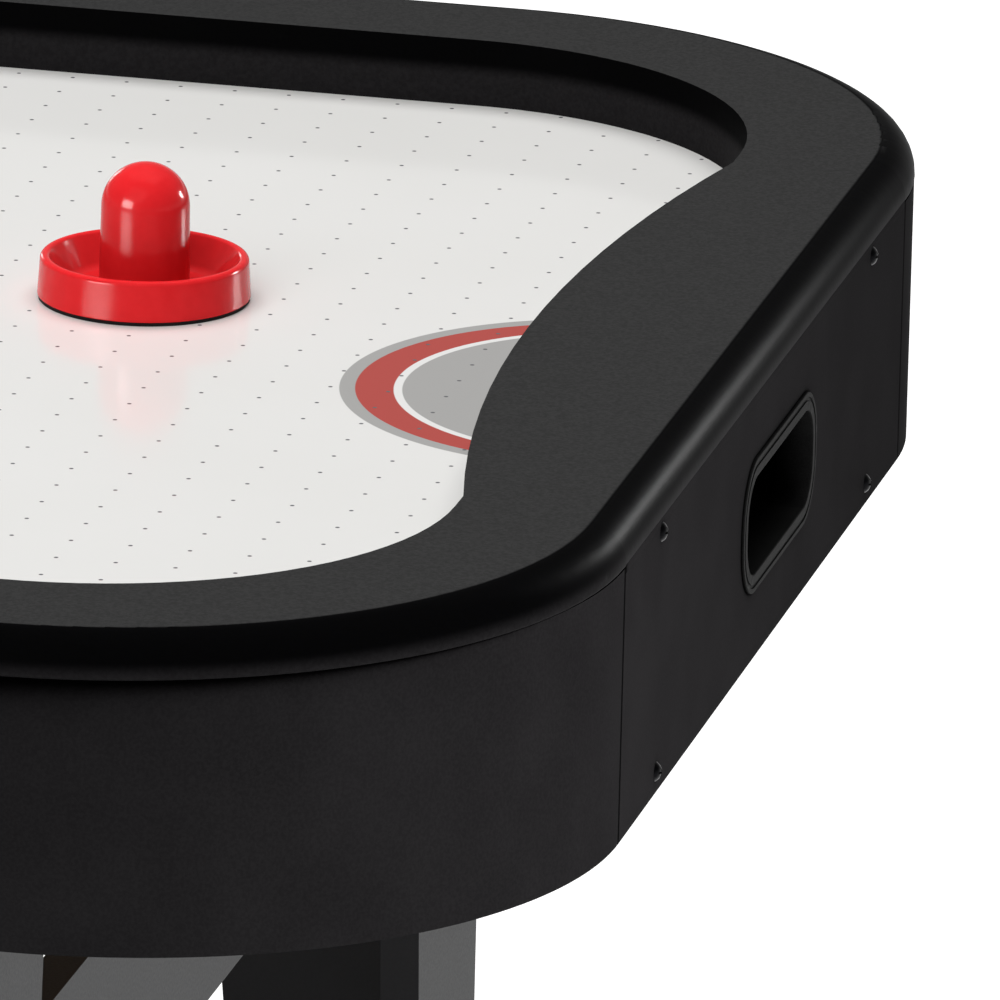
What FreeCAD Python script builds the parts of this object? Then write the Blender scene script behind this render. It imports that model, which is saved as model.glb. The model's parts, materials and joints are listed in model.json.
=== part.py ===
"""Air hockey table, full size, as a parametric assembly.

Frame: origin on the floor under the middle of the table, +X along its length, +Y across it, +Z up.
Every size is a named cell of the sheet "Sizes", in millimetres, and each sub-part is bound to those cells.
Each sub-part is written to parts/LABEL.step as closed solids.
"""
import FreeCAD
import Part
import Sketcher
import math
import os
import re

SIZES = (
    # overall
    ("table_length", 2134, "outer length over the end panels"),
    ("table_width", 1028, "outer width over the rails"),
    ("table_height", 800, "floor to rail top"),
    # rails
    ("rail_rise", 31, "playfield top to rail top"),
    ("rail_board", 18, "thickness of the rail boards"),
    ("rail_rim", 74, "width of the rail from its outer edge to the playing area"),
    ("rail_roll", 16.5, "radius of the rolled outer edge"),
    ("rail_lip", 1.2, "rounding of the lower outer edge"),
    ("rail_corner", 222, "plan radius of the outer corner"),
    ("bulge_depth", 29.5, "how far the rail bulges over the goal"),
    ("bulge_half", 270, "half the chord of the bulge"),
    ("bulge_run", 15, "straight edge from the bulge to the corner's bend"),
    ("end_rail_reach", 330, "length of the end rail along the table"),
    ("goal_half", 160, "half the width of the goal mouth"),
    # cabinet
    ("panel_board", 15, "thickness of end panels, aprons and corner panels"),
    ("apron_drop", 106, "playfield top to the lower edge of the cabinet"),
    ("apron_inset", 10, "how far the aprons stand back under the rail"),
    ("board_gap", 0.5, "clearance round the rebound boards"),
    ("seam_gap", 0.3, "seam between end panel and corner panel"),
    ("cleat_thick", 28, "end cleat, along the table"),
    ("cleat_tall", 24, "end cleat, height"),
    ("cleat_half", 280, "end cleat, half its length"),
    # playfield and air chamber
    ("playfield_board", 12, "thickness of the playfield"),
    ("playfield_gap", 1, "clearance round the playfield"),
    ("drop_slot", 94, "end face to the playfield's edge at the goal"),
    ("plenum_depth", 38, "height of the air chamber"),
    ("plenum_skin", 6, "thickness of its floor"),
    ("plenum_end", 118, "end face to the air chamber"),
    ("plenum_cut", 109, "its corner cuts, at 45 degrees"),
    ("batten_board", 18, "thickness of the chamber's frame"),
    ("rib_board", 12, "thickness of the ribs"),
    ("rib_gap", 41, "ribs' ends to the chamber's frame"),
    ("rib_pitch", 300, "spacing of the ribs"),
    # goal boxes and puck returns
    ("goal_wall", 3, "wall of the goal box"),
    ("goal_box_low", 69.5, "playfield top to the underside of the goal box"),
    ("return_offset", 23, "return opening, sideways from the middle"),
    ("return_drop", 44.5, "playfield top to the opening's middle"),
    ("return_width", 137, "clear opening, width"),
    ("return_height", 43.5, "clear opening, height"),
    ("return_corner", 18, "clear opening, corner radius"),
    ("bezel_wall", 3, "wall of the bezel's sleeve"),
    ("bezel_flange", 5.2, "flange beyond the sleeve"),
    ("bezel_thick", 1.2, "thickness of the flange"),
    ("bezel_fit", 0.3, "clearance between sleeve and panel"),
    ("groove_width", 1.6, "groove in the flange's face"),
    ("groove_depth", 0.6, "depth of that groove"),
    ("groove_inset", 2.2, "groove from the flange's edge"),
    # end-panel screws
    ("screw_half_span", 220, "screws from the middle, sideways"),
    ("screw_top", 7.7, "upper screws above the playfield top"),
    ("screw_low", 96.7, "lower screws below the playfield top"),
    ("screw_shank", 2, "shank radius"),
    ("screw_length", 32, "shank length"),
    ("screw_head", 4.2, "head radius"),
    ("screw_dome", 2.4, "head height"),
    ("screw_fit", 0.2, "clearance round a shank"),
    ("screw_bottom", 1, "bore beyond a screw's tip"),
    ("recess_long", 4.6, "crossed recess, length"),
    ("recess_wide", 1, "crossed recess, width"),
    ("recess_deep", 1.4, "crossed recess, depth"),
    # legs
    ("leg_inset", 230, "end face to the leg's outer face"),
    ("leg_board", 18, "thickness of the leg boards"),
    ("leg_top", 150, "width of a leg board at the top"),
    ("leg_foot", 90, "width of a leg board at the bottom"),
    ("leg_lift", 18, "floor to the underside of the leg"),
    ("foot_block", 34, "side of the block in the leg's foot"),
    ("foot_block_tall", 60, "height of that block"),
    ("stretcher_tall", 90, "end stretcher, height"),
    ("stretcher_low", 470, "floor to the stretcher's underside"),
    ("bolt_shank", 4, "leg bolt, shank radius"),
    ("bolt_bite", 9, "leg bolt, depth in the apron"),
    ("bolt_head", 6.5, "leg bolt, half the head's width over flats"),
    ("bolt_head_tall", 5.3, "leg bolt, head height"),
    ("bolt_pitch", 60, "leg bolts, spacing"),
    ("bolt_drop", 25, "air chamber's underside to the bolts"),
    ("bolt_fit", 0.25, "clearance round a bolt"),
    ("bolt_bottom", 1, "bore beyond a bolt's tip"),
    # levelers
    ("stud_radius", 5, "threaded stud"),
    ("stud_reach", 42, "stud above the leg's underside"),
    ("stud_fit", 0.06, "running clearance of the stud"),
    ("stud_bevel", 1, "chamfer at the stud's top"),
    ("stud_bottom", 2, "bore beyond the stud's top"),
    ("collar_flats", 8, "half the hex collar's width over flats"),
    ("collar_tall", 6, "hex collar, height"),
    ("pad_radius", 24, "foot pad"),
    ("pad_tall", 12, "foot pad, height"),
    ("pad_brim", 4, "foot pad, height of its rim"),
    ("pad_neck", 13, "foot pad, radius at its top"),
    ("pad_bevel", 1, "foot pad, chamfers"),
    ("pad_socket", 7, "depth of the stud's socket in the pad"),
    # blower
    ("scroll_radius", 72, "blower housing, radius"),
    ("scroll_depth", 64, "blower housing, along its axis"),
    ("scroll_wall", 3, "blower housing, wall"),
    ("duct_width", 60, "outlet duct, width"),
    ("duct_height", 95, "housing axis to the outlet"),
    ("duct_flange", 16, "outlet flange beyond the duct"),
    ("duct_flange_thick", 4, "outlet flange, thickness"),
    ("blower_screw_length", 14, "flange screws, shank length"),
    ("intake_radius", 40, "intake hole"),
    ("grille_radius", 46, "intake grille"),
    ("grille_thick", 2.5, "intake grille, thickness"),
    ("grille_slots", 12, "number of slots"),
    ("slot_inner", 14, "slots, inner end from the axis"),
    ("slot_outer", 38, "slots, outer end from the axis"),
    ("slot_wide", 5, "slots, width"),
    ("motor_radius", 42, "motor can"),
    ("motor_length", 62, "motor can, length"),
    ("motor_bevel", 6, "motor can, chamfer"),
    ("shaft_radius", 4, "impeller shaft"),
    ("shaft_bite", 30, "shaft inside the motor"),
    ("shaft_fit", 0.05, "running clearance of the shaft"),
    ("shaft_hole", 1, "clearance where the shaft enters the housing"),
    ("shaft_bottom", 2, "bore beyond the shaft's end"),
    ("wheel_radius", 54, "impeller"),
    ("wheel_depth", 44, "impeller, along its axis"),
    ("wheel_plate", 2, "impeller's back plate and front ring"),
    ("wheel_gap", 5, "impeller to the housing's back wall"),
    ("blade_inner", 42, "inner radius of the blades"),
    ("blade_thick", 1.6, "blade thickness"),
    ("blade_lean", 3.5, "sideways lean of each half of a blade"),
    ("blade_edge", 1, "blades' ends from the rims"),
    ("blade_count", 24, "number of blades"),
    ("hub_radius", 12, "impeller hub"),
    ("hub_length", 24, "impeller hub, length"),
    # controls on the back apron
    ("control_place", 500, "controls from the middle of the table"),
    ("control_width", 104, "control plate, width"),
    ("control_tall", 44, "control plate, height"),
    ("control_thick", 2, "control plate, thickness"),
    ("control_drop", 81, "playfield top to the plate's middle"),
    ("control_fit", 0.3, "clearance round inlet and switch in the plate"),
    ("control_cut", 84, "opening in the apron, width"),
    ("control_cut_tall", 34, "opening in the apron, height"),
    ("inlet_width", 27.4, "power inlet, width"),
    ("inlet_tall", 20, "power inlet, height"),
    ("inlet_deep", 30, "power inlet, depth"),
    ("inlet_recess", 17, "power inlet, depth of its socket"),
    ("inlet_wall", 2.2, "power inlet, wall"),
    ("inlet_place", 24, "inlet from the plate's middle"),
    ("pin_wide", 2, "contact pin, width"),
    ("pin_tall", 4, "contact pin, height"),
    ("pin_long", 13, "contact pin, length"),
    ("pin_pitch", 7, "contact pins, spacing"),
    ("pin_shift", 4, "middle contact pin, raised"),
    ("switch_width", 18, "switch housing, width"),
    ("switch_tall", 27, "switch housing, height"),
    ("switch_deep", 24, "switch housing, depth"),
    ("switch_wall", 2, "switch housing, wall"),
    ("switch_place", 24, "switch from the plate's middle"),
    ("rim_wide", 2.5, "rim of switch and inlet over the plate, width"),
    ("rim_thick", 2, "rim of switch and inlet over the plate, thickness"),
    ("rocker_gap", 0.5, "rocker to the housing's sides"),
    ("rocker_half", 9.5, "rocker, half its height"),
    ("rocker_proud", 4.5, "rocker's ends in front of its pivot"),
    ("rocker_dip", 3, "rocker's middle in front of its pivot"),
    ("rocker_back", 4, "rocker behind its pivot"),
    ("rocker_pivot", 2, "pivot behind the plate's face"),
    ("rocker_tilt", 8, "tilt of the rocker at rest, in degrees"),
    ("pivot_radius", 1.5, "rocker's pivot pin"),
    ("pivot_fit", 0.05, "running clearance of the pin"),
    # strikers and pucks
    ("striker_radius", 46.7, "striker's base"),
    ("striker_top", 45.6, "striker's wall, outer radius below its rounded top"),
    ("striker_rim", 17.9, "height of the striker's wall above the felt"),
    ("striker_round", 2.6, "rounding of that wall's top"),
    ("striker_floor", 3.5, "height of the dish's floor above the felt"),
    ("dish_radius", 36, "dish, radius at its floor"),
    ("dish_round", 5, "rounding in the dish's corner"),
    ("handle_foot", 19.9, "striker's handle, radius at its foot"),
    ("handle_radius", 19.4, "striker's handle, radius of its domed top"),
    ("handle_height", 61, "felt's underside to the handle's top"),
    ("handle_flare", 3, "rounding at the handle's foot"),
    ("felt_thick", 1.6, "felt pad"),
    ("felt_radius", 46.2, "felt pad, outer radius"),
    ("striker_end", 297, "right striker from the end face"),
    ("striker_side", 86, "strikers from the middle, sideways"),
    ("second_striker_end", 420, "left striker from the end face"),
    ("puck_radius", 31.75, "puck"),
    ("puck_thick", 6, "puck, thickness"),
    ("puck_edge", 1, "puck, chamfer"),
    ("puck_place", 420, "pucks from the middle, along the table"),
    ("puck_side", 215, "pucks from the middle, sideways"),
)

# Heights and plan lines that several pieces share, as expressions over the sheet.
END = "table_length / 2"
SIDE = "table_width / 2"
PLAY = "(table_height - rail_rise)"
RAIL_LOW = "(table_height - rail_board)"
CABINET_LOW = f"({PLAY} - apron_drop)"
CHAMBER_TOP = f"({PLAY} - playfield_board)"
CHAMBER_LOW = f"({CHAMBER_TOP} - plenum_depth)"
FLOOR_LOW = f"({CHAMBER_LOW} - plenum_skin)"
APRON_OUT = f"({SIDE} - apron_inset)"
APRON_IN = f"({APRON_OUT} - panel_board)"
RIB_HALF = f"({APRON_IN} - batten_board - rib_gap)"
CORNER_Y = f"({SIDE} - rail_corner)"
CORNER_R = "(rail_corner - apron_inset)"
CORNER_X = f"({END} - {CORNER_R})"
BULGE_R = "((bulge_half ^ 2 + bulge_depth ^ 2) / (2 * bulge_depth))"
BULGE_X = f"({END} - rail_rim - bulge_depth + {BULGE_R})"
GOAL_EDGE_X = f"({BULGE_X} - sqrt({BULGE_R} ^ 2 - goal_half ^ 2))"
INNER_X = f"({END} - rail_rim)"
INNER_Y = f"({SIDE} - rail_rim)"
REACH_X = f"({END} - end_rail_reach)"
BEND_Y = "(bulge_half + bulge_run)"
BEND_R = f"({INNER_Y} - {BEND_Y})"
BEND_X = f"({INNER_X} - {BEND_R})"
LEG_X = f"({END} - leg_inset)"
STUD_X = f"({LEG_X} - leg_board - foot_block / 2)"
STUD_Y = f"({APRON_IN} - leg_board - foot_block / 2)"
BOLT_X = (f"({LEG_X} - leg_top / 2 - bolt_pitch / 2)", f"({LEG_X} - leg_top / 2 + bolt_pitch / 2)")
BOLT_Z = f"({FLOOR_LOW} - bolt_drop)"
BLOWER_X = "(duct_width / 2 - scroll_radius)"
BLOWER_Z = f"({FLOOR_LOW} - duct_height)"
FLANGE_SCREW_X = "(duct_width / 2 + duct_flange / 2)"
FLANGE_SCREW_Y = "(scroll_depth / 2 + duct_flange / 2)"
CONTROL_Z = f"({PLAY} - control_drop)"

doc = FreeCAD.newDocument("AirHockeyTable")
sheet = doc.addObject("Spreadsheet::Sheet", "Sizes")
for row, (alias, value, meaning) in enumerate(SIZES, start=1):
    sheet.set(f"A{row}", meaning)
    sheet.set(f"B{row}", str(value))
    sheet.setAlias(f"B{row}", alias)
doc.recompute()

subparts = []


# ---------------------------------------------------------------- small helpers
def bound(text):
    """An expression over the sheet's aliases, written as FreeCAD wants it."""
    return re.sub(r"[a-z_]{3,}", lambda word: word.group(0) if word.group(0) in ("sqrt", "sin", "cos")
                  else "Sizes." + word.group(0), str(text))


def number(text):
    """The value of an expression over the sheet's aliases."""
    found = sheet.evalExpression(str(text))
    return float(getattr(found, "Value", found))


def times(sign, text):
    """The expression, mirrored when sign is -1."""
    return f"({text})" if sign > 0 else f"(-({text}))"


def keep(thing, label):
    """Names a finished sub-part and lists it for the export."""
    thing.Label = label
    subparts.append(thing)


def new_body(name):
    body = doc.addObject("PartDesign::Body", name)
    body.AllowCompound = True
    return body


def origin_plane(body, role):
    return [item for item in body.Origin.OriginFeatures if item.Role == role][0]


def place(thing, east="0", north="0", up="0"):
    """Binds a sub-part's position."""
    for axis, text in zip("xyz", (east, north, up)):
        thing.setExpression(f"Placement.Base.{axis}", bound(text))


def turn(thing, axis, degrees):
    spot = thing.Placement.Base
    thing.Placement = FreeCAD.Placement(spot, FreeCAD.Rotation(FreeCAD.Vector(*axis), degrees))


def fix(sketch, kind, geometry, point, text):
    made = sketch.addConstraint(Sketcher.Constraint(kind, -1, 1, geometry, point, number(text)))
    sketch.setExpression(f"Constraints[{made}]", bound(text))


def draw_loop(sketch, loop):
    """Draws one closed outline.

    A corner is (x, y) when the edge to the next corner is straight, or (x, y, radius, centre x, centre y)
    when that edge is an arc of less than half a turn. Every corner is pinned by its two bound distances.
    """
    count = len(loop)
    spots = [FreeCAD.Vector(number(corner[0]), number(corner[1]), 0) for corner in loop]
    edges = []
    for index, corner in enumerate(loop):
        here = spots[index]
        there = spots[(index + 1) % count]
        if len(corner) == 2:
            edges.append((sketch.addGeometry(Part.LineSegment(here, there), False), 1, 2))
            continue
        radius = number(corner[2])
        centre = FreeCAD.Vector(number(corner[3]), number(corner[4]), 0)
        first = math.atan2(here.y - centre.y, here.x - centre.x)
        second = math.atan2(there.y - centre.y, there.x - centre.x)
        forward = (second - first) % (2 * math.pi) < math.pi
        low, high = (first, second) if forward else (second, first)
        circle = Part.Circle(centre, FreeCAD.Vector(0, 0, 1), radius)
        made = sketch.addGeometry(Part.ArcOfCircle(circle, low, high), False)
        edges.append((made, 1, 2) if forward else (made, 2, 1))
        held = sketch.addConstraint(Sketcher.Constraint("Radius", made, radius))
        sketch.setExpression(f"Constraints[{held}]", bound(corner[2]))
    for index, corner in enumerate(loop):
        made, start, end = edges[index]
        following, next_start, _ = edges[(index + 1) % count]
        sketch.addConstraint(Sketcher.Constraint("Coincident", made, end, following, next_start))
        fix(sketch, "DistanceX", made, start, corner[0])
        fix(sketch, "DistanceY", made, start, corner[1])


def draw_circle(sketch, east, north, radius):
    spot = FreeCAD.Vector(number(east), number(north), 0)
    made = sketch.addGeometry(Part.Circle(spot, FreeCAD.Vector(0, 0, 1), number(radius)), False)
    fix(sketch, "DistanceX", made, 3, east)
    fix(sketch, "DistanceY", made, 3, north)
    held = sketch.addConstraint(Sketcher.Constraint("Radius", made, number(radius)))
    sketch.setExpression(f"Constraints[{held}]", bound(radius))


def new_sketch(body, plane, level, loops=(), circles=()):
    """A sketch on one of the body's own origin planes, lifted along that plane's normal by level."""
    sketch = body.newObject("Sketcher::SketchObject", body.Name + "Sketch")
    sketch.AttachmentSupport = (origin_plane(body, plane), [""])
    sketch.MapMode = "FlatFace"
    sketch.setExpression("AttachmentOffset.Base.z", bound(level))
    for loop in loops:
        draw_loop(sketch, loop)
    for circle in circles:
        draw_circle(sketch, *circle)
    return sketch


def pad(body, plane, level, length, loops=(), circles=()):
    """Adds material from level over length, along the plane's normal."""
    sketch = new_sketch(body, plane, level, loops, circles)
    feature = body.newObject("PartDesign::Pad", body.Name + "Pad")
    feature.Profile = sketch
    feature.setExpression("Length", bound(length))
    return feature


def pocket(body, plane, level, length, loops=(), circles=()):
    """Removes material from level over length, along the plane's normal, and proves that it cut."""
    doc.recompute()
    before = body.Shape.Volume
    sketch = new_sketch(body, plane, level, loops, circles)
    feature = body.newObject("PartDesign::Pocket", body.Name + "Pocket")
    feature.Profile = sketch
    feature.Reversed = True
    feature.setExpression("Length", bound(length))
    doc.recompute()
    if body.Shape.Volume >= before:
        raise RuntimeError(f"{feature.Name} cuts nothing")
    return feature


def box_loop(west, east, south, north):
    """A rectangle's outline."""
    return ((west, south), (east, south), (east, north), (west, north))


def box_about(east, north, half_wide, half_tall):
    """A rectangle's outline about its middle."""
    return box_loop(f"{east} - {half_wide}", f"{east} + {half_wide}",
                    f"{north} - {half_tall}", f"{north} + {half_tall}")


def round_box_loop(east, north, half_wide, half_tall, radius):
    """A rectangle with rounded corners about (east, north)."""
    flat = f"({half_wide} - {radius})"
    rise = f"({half_tall} - {radius})"
    loop = []
    for sx, sy, first in ((1, 1, "east"), (-1, 1, "north"), (-1, -1, "east"), (1, -1, "north")):
        middle = (f"{east} + {times(sx, flat)}", f"{north} + {times(sy, rise)}")
        on_side = (f"{east} + {times(sx, half_wide)}", middle[1])
        on_top = (middle[0], f"{north} + {times(sy, half_tall)}")
        start, end = (on_side, on_top) if first == "east" else (on_top, on_side)
        loop.append((*start, radius, *middle))
        loop.append(end)
    return loop


def revolve(body, loop):
    """Turns a half profile, drawn as (radius, height), about the body's own vertical axis."""
    sketch = new_sketch(body, "XZ_Plane", "0", (loop,))
    feature = body.newObject("PartDesign::Revolution", body.Name + "Revolution")
    feature.Profile = sketch
    feature.ReferenceAxis = (sketch, ["V_Axis"])
    feature.Angle = 360
    return feature


def round_edges(body, radius, wanted):
    """Rounds the edges of the body's newest shape for which wanted(edge) is true."""
    doc.recompute()
    base = body.Tip
    names = [f"Edge{index}" for index, edge in enumerate(base.Shape.Edges, start=1) if wanted(edge)]
    feature = body.newObject("PartDesign::Fillet", body.Name + "Fillet")
    feature.Base = (base, names)
    feature.setExpression("Radius", bound(radius))
    return feature


def group(label, pieces):
    """Several separate solids as one sub-part."""
    whole = doc.addObject("Part::Compound", label)
    whole.Links = pieces
    keep(whole, label)


def level_edges(height, outside):
    """A test for level edges at one height whose middle lies outside a given test of (x, y)."""
    def wanted(edge):
        low, high = edge.BoundBox.ZMin, edge.BoundBox.ZMax
        middle = edge.valueAt((edge.FirstParameter + edge.LastParameter) / 2)
        return abs(low - height) < 0.01 and abs(high - height) < 0.01 and outside(middle)
    return wanted


# ---------------------------------------------------------------- rails
def on_rim(spot):
    """True on the rails' outer outline: near it, and not on the cut ends."""
    east, north = abs(spot.x), abs(spot.y)
    corner_x = number(f"{END} - rail_corner")
    corner_y = number(CORNER_Y)
    if east > corner_x and north > corner_y:
        return abs(math.hypot(east - corner_x, north - corner_y) - number("rail_corner")) < 1
    return abs(east - number(END)) < 1 or abs(north - number(SIDE)) < 1


def off_the_panel(spot):
    """True on the outer outline where the rail overhangs an apron."""
    return on_rim(spot) and abs(spot.x) < number(END) - 1


def quarter(outline, sx, sy):
    """An outline drawn for the +X +Y quarter, mirrored into another quarter."""
    moved = []
    for east, north, *bend in outline:
        if bend:
            radius, centre_x, centre_y = bend
            bend = (radius, times(sx, centre_x), times(sy, centre_y))
        moved.append((times(sx, east), times(sy, north), *bend))
    return moved


def along_end(sx, inside, outside):
    """Where a pad on the YZ plane starts, given its distances inside and outside the end face."""
    return f"{END} - {inside}" if sx > 0 else f"-({END} + {outside})"


def screw_hole(body, sx, north, up):
    """A hole along X for an end-panel screw, from the end face inwards."""
    deep = "(screw_length + screw_bottom)"
    bore = (north, up, "screw_shank + screw_fit")
    pocket(body, "YZ_Plane", along_end(sx, deep, "0"), deep, circles=(bore,))


def end_rail(sx, label):
    """A U-shaped board round one end, with the bulge over the goal and a rolled outer edge."""
    body = new_body("EndRail")
    corner_x = f"({END} - rail_corner)"
    outline = (
        (REACH_X, f"-({SIDE})"),
        (corner_x, f"-({SIDE})", "rail_corner", corner_x, f"-{CORNER_Y}"),
        (END, f"-{CORNER_Y}"),
        (END, CORNER_Y, "rail_corner", corner_x, CORNER_Y),
        (corner_x, SIDE),
        (REACH_X, SIDE),
        (REACH_X, INNER_Y),
        (BEND_X, INNER_Y, BEND_R, BEND_X, BEND_Y),
        (INNER_X, BEND_Y),
        (INNER_X, "bulge_half", BULGE_R, BULGE_X, "0"),
        (INNER_X, "-bulge_half"),
        (INNER_X, f"-{BEND_Y}", BEND_R, BEND_X, f"-{BEND_Y}"),
        (BEND_X, f"-{INNER_Y}"),
        (REACH_X, f"-{INNER_Y}"),
    )
    pad(body, "XY_Plane", RAIL_LOW, "rail_board", (quarter(outline, sx, 1),))
    round_edges(body, "rail_roll", level_edges(number("table_height"), on_rim))
    round_edges(body, "rail_lip", level_edges(number(RAIL_LOW), off_the_panel))
    keep(body, label)


def side_rail(sy, label):
    """A straight board between the end rails."""
    body = new_body("SideRail")
    outline = box_loop(f"-{REACH_X}", REACH_X, times(sy, INNER_Y), times(sy, SIDE))
    pad(body, "XY_Plane", RAIL_LOW, "rail_board", (outline,))
    round_edges(body, "rail_roll", level_edges(number("table_height"), on_rim))
    round_edges(body, "rail_lip", level_edges(number(RAIL_LOW), on_rim))
    keep(body, label)


def corner_rebound(sx, sy, label):
    """The board under an end rail from the goal mouth round the corner, standing on the playfield."""
    body = new_body("CornerRebound")
    arc = f"({CORNER_R} - panel_board - board_gap)"
    outer_x = f"({END} - panel_board - board_gap)"
    outer_y = f"({APRON_IN} - board_gap)"
    outline = (
        (GOAL_EDGE_X, "goal_half", BULGE_R, BULGE_X, "0"),
        (INNER_X, "bulge_half"),
        (INNER_X, BEND_Y, BEND_R, BEND_X, BEND_Y),
        (BEND_X, INNER_Y),
        (REACH_X, INNER_Y),
        (REACH_X, outer_y),
        (CORNER_X, outer_y, arc, CORNER_X, CORNER_Y),
        (outer_x, CORNER_Y),
        (outer_x, "goal_half"),
    )
    pad(body, "XY_Plane", PLAY, "rail_rise - rail_board", (quarter(outline, sx, sy),))
    screw_hole(body, sx, times(sy, "screw_half_span"), f"{PLAY} + screw_top")
    keep(body, label)


def side_rebound(sy, label):
    """The straight board under a side rail."""
    body = new_body("SideRebound")
    outline = box_loop(f"-{REACH_X}", REACH_X, times(sy, INNER_Y), times(sy, f"{APRON_IN} - board_gap"))
    pad(body, "XY_Plane", PLAY, "rail_rise - rail_board", (outline,))
    keep(body, label)


# ---------------------------------------------------------------- cabinet
def return_loop(sx, growth):
    """The puck return's outline in the end plane, grown all round by a distance."""
    return round_box_loop(times(sx, "return_offset"), f"({PLAY} - return_drop)",
                          f"(return_width / 2 + {growth})", f"(return_height / 2 + {growth})",
                          f"(return_corner + {growth})")


def end_panel(sx, label):
    """The flat end of the cabinet, with its puck return opening and four screw holes."""
    body = new_body("EndPanel")
    level = along_end(sx, "panel_board", "0")
    half = f"({CORNER_Y} - seam_gap)"
    pad(body, "YZ_Plane", level, "panel_board", (box_loop(f"-{half}", half, CABINET_LOW, RAIL_LOW),))
    pocket(body, "YZ_Plane", level, "panel_board", (return_loop(sx, "bezel_wall + bezel_fit"),))
    for sy in (1, -1):
        for up in (f"{PLAY} + screw_top", f"{PLAY} - screw_low"):
            screw_hole(body, sx, times(sy, "screw_half_span"), up)
    keep(body, label)


def return_bezel(sx, label):
    """A plastic sleeve through the end panel with a grooved flange on its face."""
    body = new_body("ReturnBezel")
    through = along_end(sx, "panel_board", "bezel_thick")
    face = along_end(sx, "0", "bezel_thick")
    groove = f"{END} + bezel_thick - groove_depth" if sx > 0 else face
    edge = "bezel_wall + bezel_flange"
    pad(body, "YZ_Plane", through, "panel_board + bezel_thick", (return_loop(sx, "bezel_wall"),))
    pad(body, "YZ_Plane", face, "bezel_thick", (return_loop(sx, edge),))
    pocket(body, "YZ_Plane", through, "panel_board + bezel_thick", (return_loop(sx, "0"),))
    rings = [return_loop(sx, f"{edge} - groove_inset{width}") for width in ("", " - groove_width")]
    pocket(body, "YZ_Plane", groove, "groove_depth", rings)
    keep(body, label)


def corner_panel(sx, sy, label):
    """The curved apron between an end panel and a side apron."""
    body = new_body("CornerPanel")
    outline = (
        (END, CORNER_Y, CORNER_R, CORNER_X, CORNER_Y),
        (CORNER_X, APRON_OUT),
        (CORNER_X, APRON_IN, f"({CORNER_R} - panel_board)", CORNER_X, CORNER_Y),
        (f"{END} - panel_board", CORNER_Y),
    )
    pad(body, "XY_Plane", CABINET_LOW, f"{RAIL_LOW} - {CABINET_LOW}", (quarter(outline, sx, sy),))
    keep(body, label)


def side_apron(sy, label):
    """A straight side of the cabinet, bored for the leg bolts; the back one is also cut for the controls."""
    body = new_body("SideApron")
    outline = box_loop(f"-{CORNER_X}", CORNER_X, times(sy, APRON_IN), times(sy, APRON_OUT))
    pad(body, "XY_Plane", CABINET_LOW, f"{RAIL_LOW} - {CABINET_LOW}", (outline,))
    deep = "(bolt_bite + bolt_bottom)"
    level = f"-({APRON_IN} + {deep})" if sy > 0 else APRON_IN
    bores = [(times(sx, east), BOLT_Z, "bolt_shank + bolt_fit") for sx in (1, -1) for east in BOLT_X]
    pocket(body, "XZ_Plane", level, deep, circles=bores)
    if sy > 0:
        cut = box_about("-control_place", CONTROL_Z, "control_cut / 2", "control_cut_tall / 2")
        pocket(body, "XZ_Plane", f"-{APRON_OUT}", "panel_board", (cut,))
    keep(body, label)


def end_cleats():
    """The battens behind the end panels that their lower screws bite into."""
    pieces = []
    for sx in (1, -1):
        body = new_body("EndCleat")
        near, far = f"{END} - panel_board - cleat_thick", f"{END} - panel_board"
        outline = box_loop(times(sx, near), times(sx, far), "-cleat_half", "cleat_half")
        pad(body, "XY_Plane", CABINET_LOW, "cleat_tall", (outline,))
        for sy in (1, -1):
            screw_hole(body, sx, times(sy, "screw_half_span"), f"{PLAY} - screw_low")
        pieces.append(body)
    group("end_cleats", pieces)


def goal_box(sx, label):
    """A pocket that catches the puck behind the goal and leads it to the return opening."""
    body = new_body("GoalBox")
    low = f"({PLAY} - goal_box_low)"
    back, front = f"{END} - drop_slot", f"{END} - panel_board"
    shell = box_loop(times(sx, f"{back} - goal_wall"), times(sx, front),
                     "-(goal_half + goal_wall)", "goal_half + goal_wall")
    hollow = box_loop(times(sx, back), times(sx, front), "-goal_half", "goal_half")
    pad(body, "XY_Plane", low, f"{CHAMBER_TOP} - {low}", (shell,))
    pocket(body, "XY_Plane", f"{low} + goal_wall", f"{CHAMBER_TOP} - {low} - goal_wall", (hollow,))
    keep(body, label)


# ---------------------------------------------------------------- playfield and air chamber
def playfield():
    """The playing board, cut back at both goals so that a puck can drop."""
    body = new_body("Playfield")
    edge_x = f"({END} - panel_board - playfield_gap)"
    edge_y = f"({APRON_IN} - playfield_gap)"
    arc = f"({CORNER_R} - panel_board - playfield_gap)"
    slot_x = f"({END} - drop_slot)"
    half = (
        (CORNER_X, f"-{edge_y}", arc, CORNER_X, f"-{CORNER_Y}"),
        (edge_x, f"-{CORNER_Y}"),
        (edge_x, "-goal_half"),
        (slot_x, "-goal_half"),
        (slot_x, "goal_half"),
        (edge_x, "goal_half"),
        (edge_x, CORNER_Y, arc, CORNER_X, CORNER_Y),
        (CORNER_X, edge_y),
    )
    pad(body, "XY_Plane", CHAMBER_TOP, "playfield_board", (quarter(half, 1, 1) + quarter(half, -1, -1),))
    keep(body, "playfield")


def chamber_loop(inset):
    """The air chamber's eight-sided outline, drawn in by a distance."""
    end_x = f"({END} - plenum_end)"
    shift = f"{inset} * (sqrt(2) - 1)"
    near_x, near_y = f"({end_x} - plenum_cut - {shift})", f"({APRON_IN} - {inset})"
    far_x, far_y = f"({end_x} - {inset})", f"({APRON_IN} - plenum_cut - {shift})"
    half = ((near_x, f"-{near_y}"), (far_x, f"-{far_y}"), (far_x, far_y), (near_x, near_y))
    return quarter(half, 1, 1) + quarter(half, -1, -1)


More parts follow.
